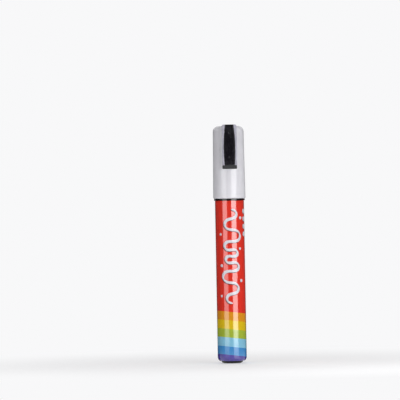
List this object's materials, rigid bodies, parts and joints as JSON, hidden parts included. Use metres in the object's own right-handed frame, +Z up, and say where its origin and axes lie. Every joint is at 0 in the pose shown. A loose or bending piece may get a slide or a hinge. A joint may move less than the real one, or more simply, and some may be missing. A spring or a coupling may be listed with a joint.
{
  "type": "liquid chalk marker",
  "caption": "Liquid chalk marker with a pull-off cap and pocket clip, a printed barrel, a spring-loaded valve behind a bullet nib, and a loose mixing ball.",
  "frame": {"origin": "centre of the flat foot under the tail plug", "axes": "+Z up along the marker towards the cap, the pocket clip faces -Y, +X to the right of the clip"},
  "size_m": [0.0196, 0.0229, 0.1447],
  "materials": {
    "cap_white": "satin translucent",
    "clip_pale": "satin translucent",
    "clip_black": "gloss",
    "print_film": "gloss print",
    "body_black": "satin gloss",
    "inner_natural": "satin",
    "valve_natural": "satin",
    "seal_rubber": "matte",
    "spring_steel": "bright",
    "ball_steel": "polished",
    "nib_fibre": "matte"
  },
  "bodies": {
    "body": {"barrel": "body_black", "print_sleeve": "print_film", "tail_plug": "body_black", "collar": "body_black", "collar_seal": "seal_rubber", "valve_seal": "seal_rubber", "valve_housing": "valve_natural", "valve_cover": "valve_natural", "valve_spring": "spring_steel"},
    "tip": {"nib": "nib_fibre", "valve_stem": "valve_natural"},
    "ball": {"mixing_ball": "ball_steel"},
    "cap": {"cap_shell": "cap_white", "inner_cap": "inner_natural"},
    "clip": {"clip_arm": "clip_pale", "clip_insert": "clip_black"}
  },
  "joints": [
    {"name": "cap_pull", "type": "slide", "parent": "body", "child": "cap", "axis": [0, 0, 1], "range_m": [0, 0.045]},
    {"name": "clip_bend", "type": "hinge", "parent": "cap", "child": "clip", "pos_m": [0, -0.0096, 0.14155], "axis": [-1, 0, 0], "range_deg": [0, 5], "stiffness_Nm_per_rad": 0.3},
    {"name": "nib_press", "type": "slide", "parent": "body", "child": "tip", "axis": [0, 0, -1], "range_m": [0, 0.0022], "stiffness_N_per_m": 500, "deforming": ["valve_spring"]},
    {"name": "ball_roll", "type": "slide", "parent": "body", "child": "ball", "axis": [0, 0, 1], "range_m": [0, 0.07]}
  ]
}
